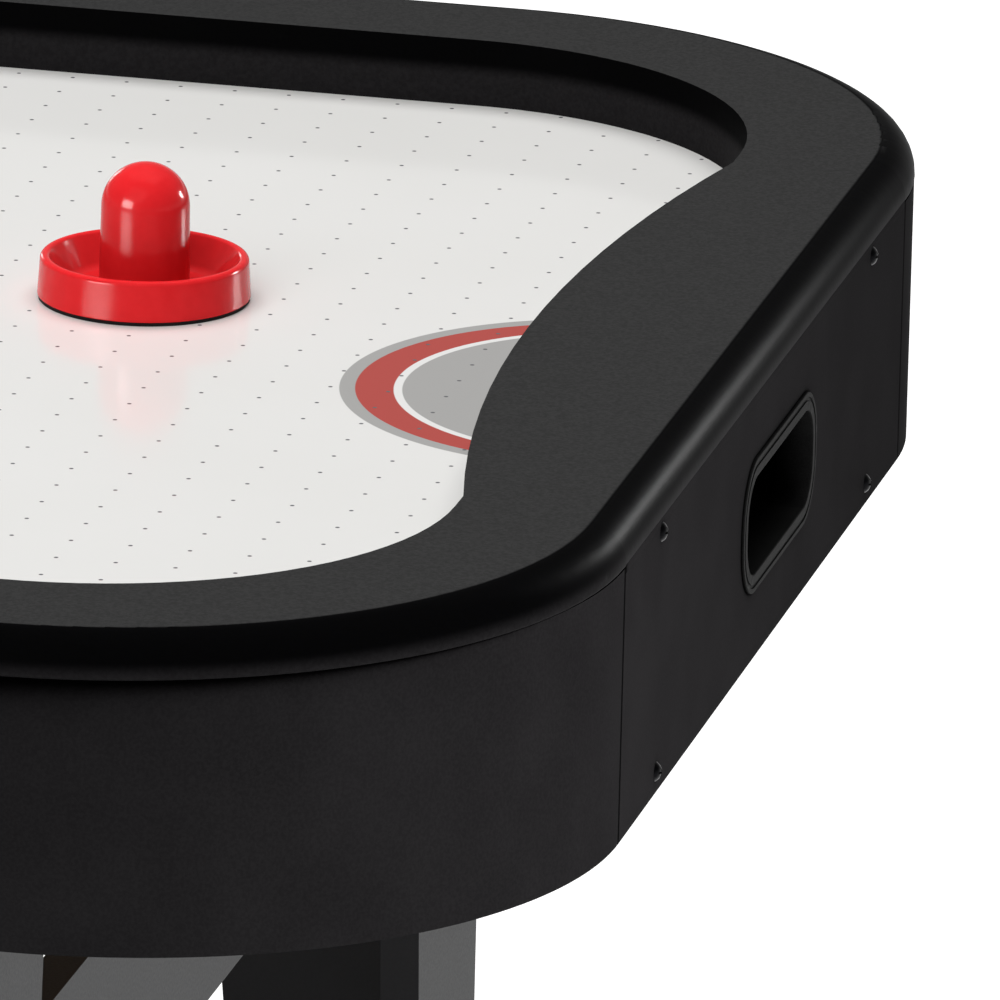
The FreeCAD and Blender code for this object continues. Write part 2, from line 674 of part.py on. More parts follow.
def plenum_floor():
    """The thin board that closes the air chamber, with the blower's outlet hole and its screw holes."""
    body = new_body("PlenumFloor")
    pad(body, "XY_Plane", FLOOR_LOW, "plenum_skin", (chamber_loop("0"),))
    outlet = box_about("0", "0", "(duct_width / 2 - scroll_wall)", "(scroll_depth / 2 - scroll_wall)")
    pocket(body, "XY_Plane", FLOOR_LOW, "plenum_skin", (outlet,))
    holes = [(times(sx, FLANGE_SCREW_X), times(sy, FLANGE_SCREW_Y), "screw_shank + screw_fit")
             for sx in (1, -1) for sy in (1, -1)]
    pocket(body, "XY_Plane", FLOOR_LOW, "plenum_skin", circles=holes)
    keep(body, "plenum_floor")


def plenum_frame():
    """The ring of battens between the chamber's floor and the playfield."""
    body = new_body("PlenumFrame")
    pad(body, "XY_Plane", CHAMBER_LOW, "plenum_depth", (chamber_loop("0"), chamber_loop("batten_board")))
    keep(body, "plenum_frame")


def plenum_ribs():
    """Cross battens that hold the playfield flat; air passes round their ends."""
    pieces = []
    for step in (-2.5, -1.5, -0.5, 0.5, 1.5, 2.5):
        rib = doc.addObject("Part::Box", "Rib")
        rib.setExpression("Length", bound("rib_board"))
        rib.setExpression("Width", bound(f"2 * {RIB_HALF}"))
        rib.setExpression("Height", bound("plenum_depth"))
        place(rib, f"{step} * rib_pitch - rib_board / 2", f"-{RIB_HALF}", CHAMBER_LOW)
        pieces.append(rib)
    group("plenum_ribs", pieces)


# ---------------------------------------------------------------- fasteners
def screw(length):
    """A domed screw along its own axis, with a crossed recess; its head sits on the plane z = 0."""
    body = new_body("Screw")
    dome = "((screw_head ^ 2 + screw_dome ^ 2) / (2 * screw_dome))"
    revolve(body, (
        ("0", f"-{length}"),
        ("screw_shank", f"-{length}"),
        ("screw_shank", "0"),
        ("screw_head", "0", dome, "0", f"screw_dome - {dome}"),
        ("0", "screw_dome"),
    ))
    for wide, tall in (("recess_long", "recess_wide"), ("recess_wide", "recess_long")):
        slot = box_about("0", "0", f"{wide} / 2", f"{tall} / 2")
        pocket(body, "XY_Plane", "screw_dome - recess_deep", "recess_deep", (slot,))
    return body


def end_panel_screws(sx, label):
    pieces = []
    for sy in (1, -1):
        for up in (f"{PLAY} + screw_top", f"{PLAY} - screw_low"):
            piece = screw("screw_length")
            turn(piece, (0, 1, 0), 90 * sx)
            place(piece, times(sx, END), times(sy, "screw_half_span"), up)
            pieces.append(piece)
    group(label, pieces)


def hexagon(half_flats):
    """A hexagon about the origin, given half its width over flats."""
    near, far = f"({half_flats} / sqrt(3))", f"(2 * {half_flats} / sqrt(3))"
    return ((half_flats, near), ("0", far), (f"-{half_flats}", near),
            (f"-{half_flats}", f"-{near}"), ("0", f"-{far}"), (half_flats, f"-{near}"))


def leg_bolts():
    """Hexagon bolts through the legs' side boards into the aprons, heads inside."""
    shank = "(leg_board + bolt_bite)"
    pieces = []
    for sx, sy, east in [(sx, sy, east) for sx in (1, -1) for sy in (1, -1) for east in BOLT_X]:
        body = new_body("LegBolt")
        pad(body, "XY_Plane", f"-{shank}", shank, circles=(("0", "0", "bolt_shank"),))
        pad(body, "XY_Plane", "0", "bolt_head_tall", (hexagon("bolt_head"),))
        turn(body, (1, 0, 0), 90 * sy)
        place(body, times(sx, east), times(sy, f"{APRON_IN} - leg_board"), BOLT_Z)
        pieces.append(body)
    group("leg_bolts", pieces)


def blower_screws():
    """Screws up through the outlet flange into the chamber's floor."""
    pieces = []
    for sx, sy in ((1, 1), (1, -1), (-1, 1), (-1, -1)):
        piece = screw("blower_screw_length")
        turn(piece, (1, 0, 0), 180)
        place(piece, times(sx, FLANGE_SCREW_X), times(sy, FLANGE_SCREW_Y), f"{FLOOR_LOW} - duct_flange_thick")
        pieces.append(piece)
    group("blower_screws", pieces)


# ---------------------------------------------------------------- legs and levelers
def leg(sx, sy, label):
    """Two tapered boards glued at a right angle, with a block in the foot for the leveler's stud."""
    body = new_body("Leg")

    def taper(sign, outer):
        return ((times(sign, outer), "leg_lift"), (times(sign, f"{outer} - leg_foot"), "leg_lift"),
                (times(sign, f"{outer} - leg_top"), FLOOR_LOW), (times(sign, outer), FLOOR_LOW))

    side_level = f"-{APRON_IN}" if sy > 0 else f"{APRON_IN} - leg_board"
    end_level = f"{LEG_X} - leg_board" if sx > 0 else f"-{LEG_X}"
    pad(body, "XZ_Plane", side_level, "leg_board", (taper(sx, LEG_X),))
    pad(body, "YZ_Plane", end_level, "leg_board", (taper(sy, APRON_IN),))
    block = box_loop(f"{LEG_X} - leg_board - foot_block", f"{LEG_X} - leg_board / 2",
                     f"{APRON_IN} - leg_board - foot_block", f"{APRON_IN} - leg_board / 2")
    pad(body, "XY_Plane", "leg_lift", "foot_block_tall", (quarter(block, sx, sy),))
    pocket(body, "XY_Plane", "leg_lift", "stud_reach + stud_bottom",
           circles=((times(sx, STUD_X), times(sy, STUD_Y), "stud_radius + stud_fit"),))
    pocket(body, "XZ_Plane", side_level, "leg_board",
           circles=[(times(sx, east), BOLT_Z, "bolt_shank + bolt_fit") for east in BOLT_X])
    keep(body, label)


def end_stretcher(sx, label):
    """A board between the two legs of one end, behind their end boards."""
    body = new_body("EndStretcher")
    level = f"{LEG_X} - 2 * leg_board" if sx > 0 else f"-({LEG_X} - leg_board)"
    half = f"({APRON_IN} - leg_board)"
    outline = box_loop(f"-{half}", half, "stretcher_low", "stretcher_low + stretcher_tall")
    pad(body, "YZ_Plane", level, "leg_board", (outline,))
    keep(body, label)


def leveler_pad(sx, sy, label):
    """A round foot with a socket for the end of the stud."""
    body = new_body("LevelerPad")
    socket, floor = "(stud_radius + stud_fit)", "(pad_tall - pad_socket)"
    revolve(body, (
        ("0", "0"),
        ("pad_radius - pad_bevel", "0"),
        ("pad_radius", "pad_bevel"),
        ("pad_radius", "pad_brim"),
        ("pad_neck", "pad_tall - pad_bevel"),
        ("pad_neck", "pad_tall"),
        (socket, "pad_tall"),
        (socket, floor),
        ("0", floor),
    ))
    place(body, times(sx, STUD_X), times(sy, STUD_Y))
    keep(body, label)


def leveler_stud(sx, sy, label):
    """A threaded stud with a hexagon collar that turns it."""
    body = new_body("LevelerStud")
    low, high = "(pad_tall - pad_socket)", "(leg_lift + stud_reach)"
    revolve(body, (
        ("0", low),
        ("stud_radius", low),
        ("stud_radius", f"{high} - stud_bevel"),
        ("stud_radius - stud_bevel", high),
        ("0", high),
    ))
    pad(body, "XY_Plane", "leg_lift - collar_tall", "collar_tall", (hexagon("collar_flats"),))
    place(body, times(sx, STUD_X), times(sy, STUD_Y))
    keep(body, label)


# ---------------------------------------------------------------- blower
def on_blower_axis(body):
    """Stands a body drawn along its own z on the blower's axis, facing -Y, with its own y upwards."""
    turn(body, (1, 0, 0), 90)
    place(body, BLOWER_X, "0", BLOWER_Z)


def scroll_loop(inset):
    """The blower's outline, a disc that runs out into a duct, drawn in by a distance but open at its top."""
    radius = f"(scroll_radius - {inset})"
    near = f"(scroll_radius - duct_width + {inset})"
    return (
        (radius, "0"),
        (radius, "duct_height"),
        (near, "duct_height"),
        (near, f"sqrt({radius} ^ 2 - {near} ^ 2)", radius, "0", "0"),
        (f"-{radius}", "0", radius, "0", "0"),
        ("0", f"-{radius}", radius, "0", "0"),
    )


def blower_housing():
    """The scroll with its outlet flange, open to the intake and to the air chamber."""
    body = new_body("BlowerHousing")
    half = "(scroll_depth / 2)"
    middle = "(scroll_radius - duct_width / 2)"
    pad(body, "XY_Plane", f"-{half}", "scroll_depth", (scroll_loop("0"),))
    flange = box_about(middle, "0", "(duct_width / 2 + duct_flange)", f"({half} + duct_flange)")
    pad(body, "XZ_Plane", "-duct_height", "duct_flange_thick", (flange,))
    inside = scroll_loop("scroll_wall")
    pocket(body, "XY_Plane", f"-({half} - scroll_wall)", "scroll_depth - 2 * scroll_wall", (inside,))
    pocket(body, "XY_Plane", f"{half} - scroll_wall", "scroll_wall", circles=(("0", "0", "intake_radius"),))
    pocket(body, "XY_Plane", f"-{half}", "scroll_wall", circles=(("0", "0", "shaft_radius + shaft_hole"),))
    holes = [(f"{middle} + {times(sx, FLANGE_SCREW_X)}", times(sy, FLANGE_SCREW_Y), "screw_shank + screw_fit")
             for sx in (1, -1) for sy in (1, -1)]
    pocket(body, "XZ_Plane", "-duct_height", "duct_flange_thick", circles=holes)
    on_blower_axis(body)
    keep(body, "blower_housing")


def blower_motor():
    """The motor can behind the scroll, bored for the impeller's shaft."""
    body = new_body("BlowerMotor")
    front, back = "-(scroll_depth / 2)", "-(scroll_depth / 2 + motor_length)"
    bore, bottom = "(shaft_radius + shaft_fit)", "-(scroll_depth / 2 + shaft_bite + shaft_bottom)"
    revolve(body, (
        (bore, front),
        ("motor_radius", front),
        ("motor_radius", f"{back} + motor_bevel"),
        ("motor_radius - motor_bevel", back),
        ("0", back),
        ("0", bottom),
        (bore, bottom),
    ))
    on_blower_axis(body)
    keep(body, "blower_motor")


def repeat_round(body, feature, count):
    """Repeats a feature evenly about the body's own z axis."""
    pattern = body.newObject("PartDesign::PolarPattern", body.Name + "Pattern")
    pattern.Originals = [feature]
    pattern.Axis = (feature.Profile[0], ["N_Axis"])
    pattern.Angle = 360
    pattern.setExpression("Occurrences", bound(count))
    body.Tip = pattern


def impeller():
    """A drum wheel on a shaft: back plate, hub, leaning blades and front ring."""
    body = new_body("Impeller")
    back = "(wheel_gap + scroll_wall - scroll_depth / 2)"
    front = f"({back} + wheel_depth)"
    revolve(body, (
        ("0", "-(scroll_depth / 2 + shaft_bite)"),
        ("shaft_radius", "-(scroll_depth / 2 + shaft_bite)"),
        ("shaft_radius", back),
        ("wheel_radius", back),
        ("wheel_radius", f"{back} + wheel_plate"),
        ("hub_radius", f"{back} + wheel_plate"),
        ("hub_radius", f"{back} + hub_length"),
        ("0", f"{back} + hub_length"),
    ))
    inner, outer = "(blade_inner + blade_edge)", "(wheel_radius - blade_edge)"
    blade = (
        (inner, "-blade_lean - blade_thick / 2"),
        (outer, "blade_lean - blade_thick / 2"),
        (outer, "blade_lean + blade_thick / 2"),
        (inner, "blade_thick / 2 - blade_lean"),
    )
    first = pad(body, "XY_Plane", f"{back} + wheel_plate / 2", "wheel_depth - wheel_plate", (blade,))
    repeat_round(body, first, "blade_count")
    ring = (("0", "0", "wheel_radius"), ("0", "0", "blade_inner"))
    pad(body, "XY_Plane", f"{front} - wheel_plate", "wheel_plate", circles=ring)
    on_blower_axis(body)
    keep(body, "impeller")


def intake_grille():
    """A slotted disc over the blower's intake."""
    body = new_body("IntakeGrille")
    front = "scroll_depth / 2"
    pad(body, "XY_Plane", front, "grille_thick", circles=(("0", "0", "grille_radius"),))
    slot = box_loop("slot_inner", "slot_outer", "-slot_wide / 2", "slot_wide / 2")
    repeat_round(body, pocket(body, "XY_Plane", front, "grille_thick", (slot,)), "grille_slots")
    on_blower_axis(body)
    keep(body, "intake_grille")


# ---------------------------------------------------------------- controls
def on_controls(body, east="0", deep="0"):
    """Places a body drawn with y = 0 at the control plate's outer face."""
    place(body, f"-control_place + {east}", f"{APRON_OUT} + control_thick - {deep}", CONTROL_Z)


def control_plate():
    """The metal plate on the back apron, cut for the switch and the power inlet."""
    body = new_body("ControlPlate")
    plate = box_about("0", "0", "control_width / 2", "control_tall / 2")
    pad(body, "XZ_Plane", "0", "control_thick", (plate,))
    for east, wide, tall in (("inlet_place", "inlet_width", "inlet_tall"),
                             ("-switch_place", "switch_width", "switch_tall")):
        cut = box_about(east, "0", f"({wide} / 2 + control_fit)", f"({tall} / 2 + control_fit)")
        pocket(body, "XZ_Plane", "0", "control_thick", (cut,))
    on_controls(body)
    keep(body, "control_plate")


def power_inlet():
    """A three-pin inlet socket with a rim on the plate's face."""
    body = new_body("PowerInlet")
    pad(body, "XZ_Plane", "0", "inlet_deep", (box_about("0", "0", "inlet_width / 2", "inlet_tall / 2"),))
    pad(body, "XZ_Plane", "-rim_thick", "rim_thick",
        (box_about("0", "0", "(inlet_width / 2 + rim_wide)", "(inlet_tall / 2 + rim_wide)"),))
    recess = box_about("0", "0", "(inlet_width / 2 - inlet_wall)", "(inlet_tall / 2 - inlet_wall)")
    pocket(body, "XZ_Plane", "-rim_thick", "inlet_recess", (recess,))
    for step, rise in ((-1, "0"), (0, "pin_shift"), (1, "0")):
        outline = box_about(f"{step} * pin_pitch", f"{rise} - pin_shift / 2", "pin_wide / 2", "pin_tall / 2")
        pad(body, "XZ_Plane", "inlet_recess - rim_thick - pin_long", "pin_long", (outline,))
    on_controls(body, "inlet_place")
    keep(body, "power_inlet")


def switch_housing():
    """The switch's open box with a rim on the plate's face and the rocker's pivot pin across it."""
    body = new_body("SwitchHousing")
    pad(body, "XZ_Plane", "0", "switch_deep", (box_about("0", "0", "switch_width / 2", "switch_tall / 2"),))
    pad(body, "XZ_Plane", "-rim_thick", "rim_thick",
        (box_about("0", "0", "(switch_width / 2 + rim_wide)", "(switch_tall / 2 + rim_wide)"),))
    hollow = box_about("0", "0", "(switch_width / 2 - switch_wall)", "(switch_tall / 2 - switch_wall)")
    pocket(body, "XZ_Plane", "-rim_thick", "switch_deep + rim_thick - switch_wall", (hollow,))
    inside = "(switch_width / 2 - switch_wall / 2)"
    pad(body, "YZ_Plane", f"-{inside}", f"2 * {inside}", circles=(("-rocker_pivot", "0", "pivot_radius"),))
    on_controls(body, "-switch_place")
    keep(body, "switch_housing")


def rocker_switch():
    """The rocker on its pin, tilted to its off position."""
    body = new_body("RockerSwitch")
    half = "(switch_width / 2 - switch_wall - rocker_gap)"
    profile = (
        ("rocker_proud", "rocker_half"),
        ("-rocker_back", "rocker_half"),
        ("-rocker_back", "-rocker_half"),
        ("rocker_proud", "-rocker_half"),
        ("rocker_dip", "0"),
    )
    pad(body, "YZ_Plane", f"-{half}", f"2 * {half}", (profile,))
    pocket(body, "YZ_Plane", f"-{half}", f"2 * {half}", circles=(("0", "0", "pivot_radius + pivot_fit"),))
    turn(body, (-1, 0, 0), number("rocker_tilt"))
    body.setExpression("Placement.Rotation.Angle", bound("rocker_tilt"))
    on_controls(body, "-switch_place", "rocker_pivot")
    keep(body, "rocker_switch")


# ---------------------------------------------------------------- strikers and pucks
def on_playfield(body, east, north, up="0"):
    place(body, east, north, f"{PLAY} + {up}")


def striker_shell(east, north, label):
    """A dished striker with a rounded rim and a domed handle."""
    body = new_body("StrikerShell")
    crest, shoulder = "(striker_top - striker_round)", "(striker_rim - striker_round)"
    dish, foot = "(dish_radius - dish_round)", "(handle_foot + handle_flare)"
    knob = "(handle_height - felt_thick - handle_radius)"
    revolve(body, (
        ("0", "0"),
        ("striker_radius", "0"),
        ("striker_top", shoulder, "striker_round", crest, shoulder),
        (crest, "striker_rim", "striker_round", crest, shoulder),
        (f"{crest} - striker_round", shoulder),
        ("dish_radius", "striker_floor + dish_round", "dish_round", dish, "striker_floor + dish_round"),
        (dish, "striker_floor"),
        (foot, "striker_floor", "handle_flare", foot, "striker_floor + handle_flare"),
        ("handle_foot", "striker_floor + handle_flare"),
        ("handle_radius", knob, "handle_radius", "0", knob),
        ("0", f"{knob} + handle_radius"),
    ))
    on_playfield(body, east, north, "felt_thick")
    keep(body, label)


def striker_felt(east, north, label):
    """The felt disc a striker glides on."""
    body = new_body("StrikerFelt")
    pad(body, "XY_Plane", "0", "felt_thick", circles=(("0", "0", "felt_radius"),))
    on_playfield(body, east, north)
    keep(body, label)


def puck(sign, label):
    """A flat puck with chamfered edges."""
    body = new_body("Puck")
    inner = "puck_radius - puck_edge"
    revolve(body, (
        ("0", "0"),
        (inner, "0"),
        ("puck_radius", "puck_edge"),
        ("puck_radius", "puck_thick - puck_edge"),
        (inner, "puck_thick"),
        ("0", "puck_thick"),
    ))
    on_playfield(body, times(sign, "puck_place"), times(-sign, "puck_side"))
    keep(body, label)


# ---------------------------------------------------------------- the whole table
ENDS = ((1, "right"), (-1, "left"))
SIDES = ((1, "back"), (-1, "front"))

for sx, end in ENDS:
    end_rail(sx, f"end_rail_{end}")
    end_panel(sx, f"end_panel_{end}")
    return_bezel(sx, f"return_bezel_{end}")
    goal_box(sx, f"goal_box_{end}")
    end_panel_screws(sx, f"end_panel_screws_{end}")
    end_stretcher(sx, f"end_stretcher_{end}")
    puck(sx, f"puck_{end}")
    for sy, side in SIDES:
        corner_rebound(sx, sy, f"corner_rebound_{side}_{end}")
        corner_panel(sx, sy, f"corner_panel_{side}_{end}")
        leg(sx, sy, f"leg_{side}_{end}")
        leveler_pad(sx, sy, f"leveler_pad_{side}_{end}")
        leveler_stud(sx, sy, f"leveler_stud_{side}_{end}")
for sy, side in SIDES:
    side_rail(sy, f"side_rail_{side}")
    side_rebound(sy, f"side_rebound_{side}")
    side_apron(sy, f"side_apron_{side}")
for east, north, end in ((f"{END} - striker_end", "striker_side", "right"),
                         (f"-({END} - second_striker_end)", "-striker_side", "left")):
    striker_shell(east, north, f"striker_shell_{end}")
    striker_felt(east, north, f"striker_felt_{end}")
for build in (playfield, plenum_floor, plenum_frame, plenum_ribs, end_cleats, leg_bolts,
              blower_housing, blower_motor, impeller, intake_grille, blower_screws,
              control_plate, power_inlet, switch_housing, rocker_switch):
    build()

doc.recompute()
for item in doc.Objects:
    if {"Invalid", "Error"} & set(item.State):
        raise RuntimeError(f"{item.Label}: {item.State}")
for thing in subparts:
    if thing.Shape.isNull() or not thing.Shape.isValid() or not thing.Shape.Solids:
        raise RuntimeError(f"{thing.Label} is not a valid solid")

os.makedirs("parts", exist_ok=True)
for thing in subparts:
    thing.Shape.exportStep(f"parts/{thing.Label}.step")
print(len(subparts), "sub-parts written")
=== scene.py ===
"""The air hockey table's looks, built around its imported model, in metres."""
import json
import math

import bpy
import numpy as np
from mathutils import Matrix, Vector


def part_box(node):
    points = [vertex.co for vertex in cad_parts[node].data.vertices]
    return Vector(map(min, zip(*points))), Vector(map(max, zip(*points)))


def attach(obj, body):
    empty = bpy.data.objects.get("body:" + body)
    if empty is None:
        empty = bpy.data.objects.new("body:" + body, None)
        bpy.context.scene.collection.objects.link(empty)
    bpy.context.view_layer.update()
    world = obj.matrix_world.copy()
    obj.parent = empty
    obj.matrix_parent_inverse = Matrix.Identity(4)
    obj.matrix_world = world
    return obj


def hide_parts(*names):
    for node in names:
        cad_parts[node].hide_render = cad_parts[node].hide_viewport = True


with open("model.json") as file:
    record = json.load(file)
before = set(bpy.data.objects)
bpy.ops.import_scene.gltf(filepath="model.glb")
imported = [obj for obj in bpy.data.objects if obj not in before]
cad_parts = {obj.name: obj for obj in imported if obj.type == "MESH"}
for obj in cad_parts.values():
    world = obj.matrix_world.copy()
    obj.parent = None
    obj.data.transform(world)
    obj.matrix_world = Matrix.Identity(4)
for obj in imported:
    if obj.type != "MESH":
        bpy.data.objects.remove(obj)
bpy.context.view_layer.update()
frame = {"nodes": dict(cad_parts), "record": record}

MM = 0.001
nodes = frame["nodes"]
BOTH = (("right", 1), ("left", -1))         # the table's two ends and the way each one faces


# ---------------------------------------------------------------- places read from the model
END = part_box("end_panel_right")[1][0]       # the end face
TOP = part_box("end_rail_right")[1][2]        # the rails' top
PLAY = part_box("playfield")[1][2]            # the playing surface
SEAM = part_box("end_panel_right")[1][1]      # the end panel's edge, where the corner panel begins
HOLE_PITCH = 25.4 * MM                      # the air holes' grid
FIRST_HOLE = END - 9.4 * MM                 # one column of that grid


# ---------------------------------------------------------------- materials
EASED = {"interpolation_type": "SMOOTHSTEP"}    # from one range to another with soft ends
HOLLOW = 45 * MM                            # how near a neighbour has to be to shade a spot
PRINT_EDGE = 0.25 * MM                      # half the soft edge of a printed line
RING, HALF_LINE = 150 * MM, 3 * MM          # the centre ring's radius, and half its line's width
LAMINATE_CLOUD, LAMINATE_PEEL = 1 / 9, 1 / 180  # 111 mm and 5.6 mm, in metres


def linear(code):
    """A colour written as sRGB hex, as linear red, green, blue and alpha."""
    parts = [int(code[start:start + 2], 16) / 255 for start in (1, 3, 5)]
    return (*[c / 12.92 if c <= 0.04045 else ((c + 0.055) / 1.055) ** 2.4 for c in parts], 1.0)


def add(tree, kind, inputs=(), output=0, **settings):
    """Adds a node with its settings and its inputs, in order or by name. An input is a value or
    another node's socket. Returns one output."""
    made = tree.nodes.new("ShaderNode" + kind)
    for name, value in settings.items():
        setattr(made, name, value)
    for socket, value in inputs.items() if isinstance(inputs, dict) else enumerate(inputs):
        if isinstance(value, bpy.types.NodeSocket):
            tree.links.new(value, made.inputs[socket])
        else:
            made.inputs[socket].default_value = value
    return made.outputs[output]


def new_material(name, **shader):
    """A material with one principled shader. Returns it, its node tree and its shader node."""
    made = bpy.data.materials.new(name)
    made.use_nodes = True
    surface = made.node_tree.nodes["Principled BSDF"]
    for socket, value in shader.items():
        surface.inputs[socket.replace("_", " ")].default_value = value
    return made, made.node_tree, surface


def speckled(name, base, spot, grain, rough, bump=0.1, relief=0.05 * MM, spread=0.08, painted_shade=None,
             painted_shade_colour="#000000", start=0.78, alone=False, joint=None, **shader):
    """A finish whose colour, roughness and relief vary with a noise of one grain size, and with
    clouds 33 grains wide. When asked for, a painted shade darkens its colour towards a darker shade
    colour in hollows and under overhangs, by up to the given amount, as the open share of the sky
    above a spot falls from 1 to start, judged from the piece alone or from its neighbours too.
    Joint is how far from the table's middle a dark line 3 mm wide begins, along its corner seams."""
    made, tree, surface = new_material(name, **shader)
    place = add(tree, "TexCoord", output=3)
    noise = add(tree, "TexNoise",
                {"Vector": place, "Scale": 1 / grain, "Detail": 3.0, "Roughness": 0.6})
    cloud = add(tree, "TexNoise", {"Vector": place, "Scale": 0.03 / grain, "Detail": 2.0})
    specks = add(tree, "MapRange", (noise, 0.35, 0.65, 0, 0.6), **EASED)
    clouds = add(tree, "MapRange", (cloud, 0.3, 0.7, 0, 0.4), **EASED)
    tone = add(tree, "Math", (specks, clouds), operation="ADD")
    colour = add(tree, "Mix", {"Factor": tone, "A": linear(base), "B": linear(spot)}, 2,
                 data_type="RGBA")
    if painted_shade:
        # painted shade: the colour darkens towards the shade colour where neighbours hide the sky
        # above a spot
        open_share = add(tree, "AmbientOcclusion", {"Distance": HOLLOW}, 1, only_local=alone)
        shade = add(tree, "MapRange", (open_share, start, 1.0, painted_shade, 0), **EASED)
        colour = add(tree, "Mix", {"Factor": shade, "A": colour, "B": linear(painted_shade_colour)}, 2,
                     data_type="RGBA")
    if joint:
        across = add(tree, "SeparateXYZ", (place,), 1)
        across = add(tree, "Math", (across,), operation="ABSOLUTE")
        outside = add(tree, "MapRange", (across, joint, joint + 0.3 * MM, 0, 0.9), **EASED)
        inside = add(tree, "MapRange", (across, joint + 2.2 * MM, joint + 3.2 * MM, 1, 0), **EASED)
        line = add(tree, "Math", (outside, inside), operation="MULTIPLY")
        colour = add(tree, "Mix", {"Factor": line, "A": colour, "B": linear("#000000")}, 2,
                     data_type="RGBA")
    tree.links.new(colour, surface.inputs["Base Color"])
    gloss = add(tree, "MapRange", (noise, 0.3, 0.7, rough - spread / 2, rough + spread / 2),
                **EASED)
    tree.links.new(gloss, surface.inputs["Roughness"])
    height = add(tree, "Bump", {"Height": noise, "Strength": bump, "Distance": relief})
    tree.links.new(height, surface.inputs["Normal"])
    return made


def playfield_laminate():
    """High-pressure laminate on MDF, pressed smooth: white and glossy, with printed rings and
    lines and fine air holes. The holes are drawn 1.9 mm wide, wider than real ones, so that they
    show."""
    made, tree, surface = new_material("white_playfield_laminate", IOR=1.5, Roughness=0.12,
                                       Specular_IOR_Level=0.28)
    place = add(tree, "TexCoord", output=3)
    east = add(tree, "SeparateXYZ", (place,))
    north = east.node.outputs["Y"]
    side = add(tree, "Math", (east,), operation="ABSOLUTE")
    # air holes: the distance to the nearest point of the grid
    half = HOLE_PITCH / 2
    offset = add(tree, "VectorMath", (place, (-FIRST_HOLE, 0, 0)), operation="ADD")
    flat = add(tree, "VectorMath", (offset, (1, 1, 0)), operation="MULTIPLY")
    cell = add(tree, "VectorMath", (flat, (half, half, 1), (-half, -half, -1)), operation="WRAP")
    from_hole = add(tree, "VectorMath", (cell,), 1, operation="LENGTH")
    hole = add(tree, "MapRange", (from_hole, 0.75 * MM, 1.15 * MM, 1, 0), **EASED)
    # faint clouds in the white
    white, red, grey = linear("#EDECEA"), linear("#B53A30"), linear("#A9A8A6")
    mottle = add(tree, "TexNoise", {"Vector": place, "Scale": 1 / LAMINATE_CLOUD, "Detail": 4.0})
    colour = add(tree, "Mix", {"Factor": mottle, "A": white, "B": linear("#E9E8E5")}, 2,
                 data_type="RGBA")
    # goal creases: discs laid over one another, round two centres in front of each end face
    point = add(tree, "CombineXYZ", {"X": side, "Y": north})
    outer, inner = (add(tree, "VectorMath", (point, (END - back * MM, 0, 0)), 1,
                        operation="DISTANCE") for back in (71.0, 64.1))
    for from_centre, radius, tint in ((outer, 115.2 * MM, grey), (outer, 108.4 * MM, red),
                                      (inner, 98.6 * MM, white), (inner, 94.9 * MM, grey)):
        disc = add(tree, "MapRange", (from_centre, radius - PRINT_EDGE, radius + PRINT_EDGE, 1, 0),
                   **EASED)
        colour = add(tree, "Mix", {"Factor": disc, "A": colour, "B": tint}, 2, data_type="RGBA")
    # centre ring and centre line: the distance to whichever is nearer
    middle = add(tree, "VectorMath", (place, (1, 1, 0)), operation="MULTIPLY")
    from_middle = add(tree, "VectorMath", (middle,), 1, operation="LENGTH")
    off_ring = add(tree, "Math", (from_middle, RING), operation="SUBTRACT")
    off_ring = add(tree, "Math", (off_ring,), operation="ABSOLUTE")
    off_line = add(tree, "Math", (off_ring, side), operation="MINIMUM")
    line = add(tree, "MapRange", (off_line, HALF_LINE - PRINT_EDGE, HALF_LINE + PRINT_EDGE, 1, 0),
               **EASED)
    colour = add(tree, "Mix", {"Factor": line, "A": colour, "B": red}, 2, data_type="RGBA")
    colour = add(tree, "Mix", {"Factor": hole, "A": colour, "B": linear("#626165")}, 2,
                 data_type="RGBA")
    tree.links.new(colour, surface.inputs["Base Color"])
    # relief: a slight orange peel, and a dent at each hole
    peel = add(tree, "TexNoise", {"Vector": place, "Scale": 1 / LAMINATE_PEEL, "Detail": 2.0})
    peel = add(tree, "Math", (peel, 0.02), operation="MULTIPLY")
    dent = add(tree, "Math", (peel, hole), operation="SUBTRACT")
    bump = add(tree, "Bump", {"Height": dent, "Strength": 0.4, "Distance": 0.2 * MM})
    tree.links.new(bump, surface.inputs["Normal"])
    return made


